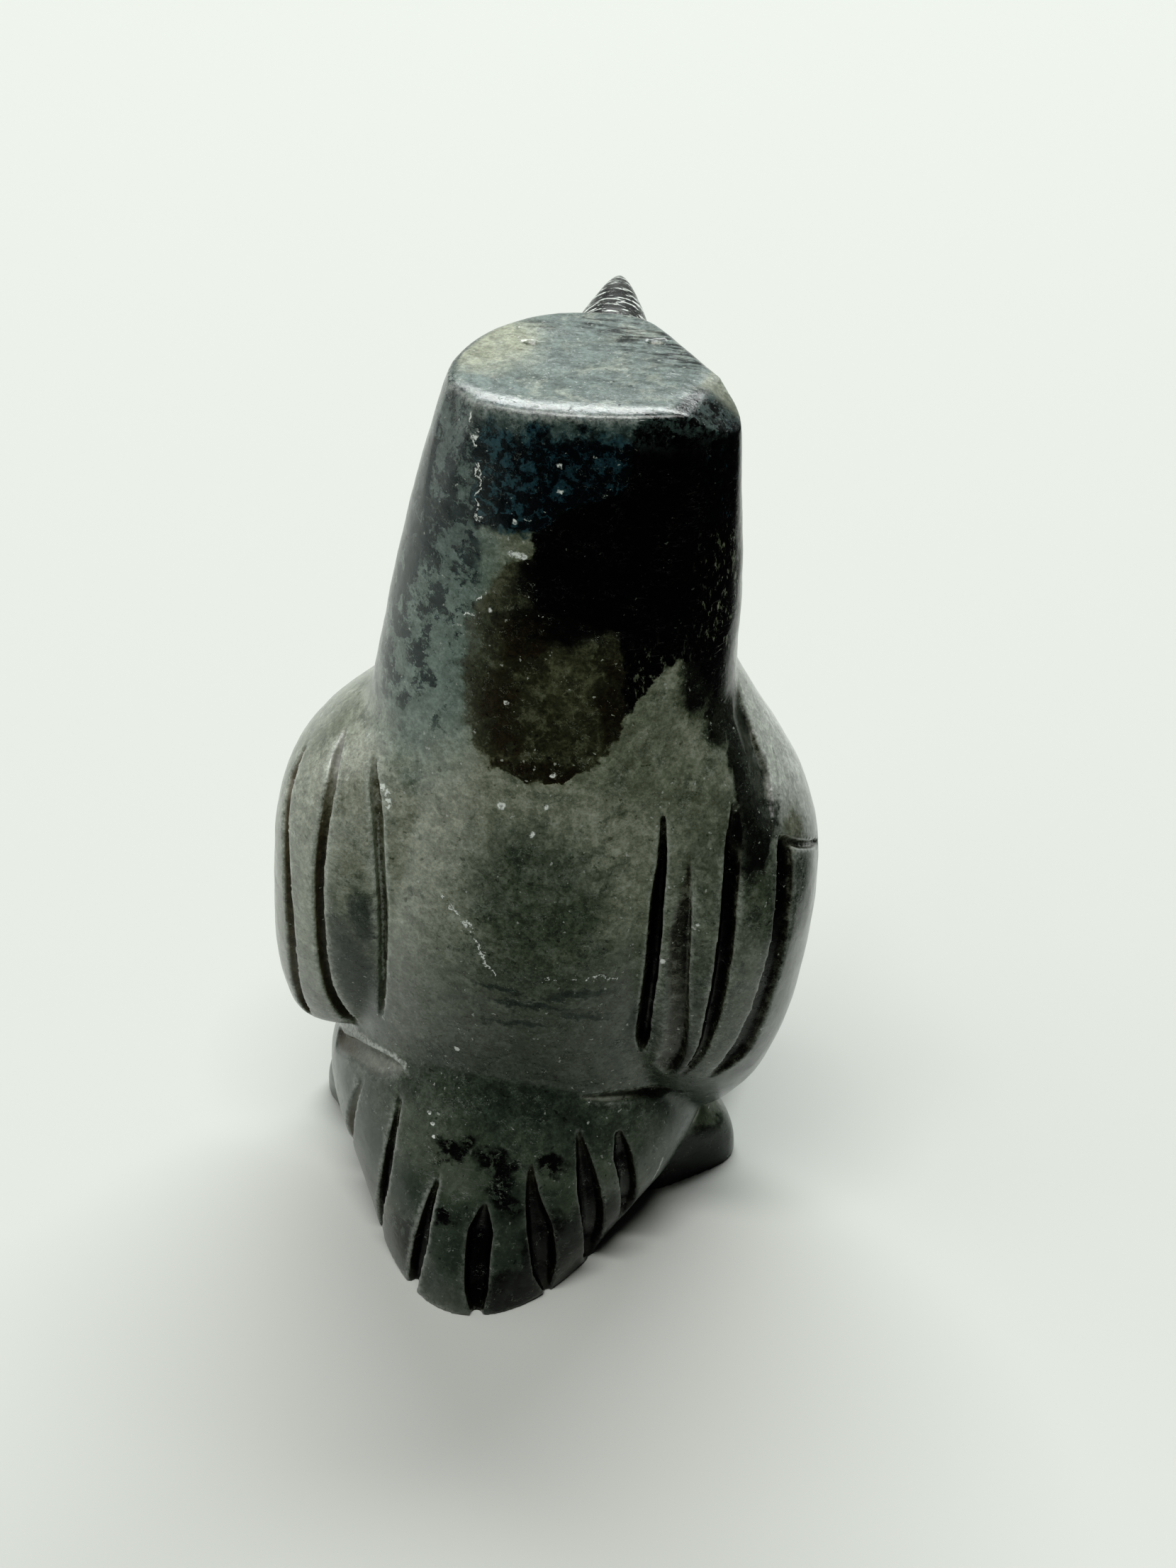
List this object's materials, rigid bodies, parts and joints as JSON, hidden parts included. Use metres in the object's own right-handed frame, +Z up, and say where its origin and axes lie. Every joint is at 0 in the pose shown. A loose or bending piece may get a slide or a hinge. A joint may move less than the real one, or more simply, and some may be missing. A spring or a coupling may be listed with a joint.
{
  "type": "soapstone penguin carving",
  "caption": "Small penguin carved from a block of dark green soapstone, with scored wings and tail feathers, a flat crown, a pointed beak and a flat underside that it stands on.",
  "frame": {"origin": "On the flat underside, below the upright axis of the body", "axes": "+Z up. The penguin faces -Y, its left is +X and its tail points to +Y"},
  "size_m": [0.0438, 0.0419, 0.073],
  "materials": {
    "soapstone": "polished dark grey-green soapstone with black mottling and olive patches"
  },
  "bodies": {
    "root": {"penguin_carving": "soapstone"}
  },
  "joints": []
}
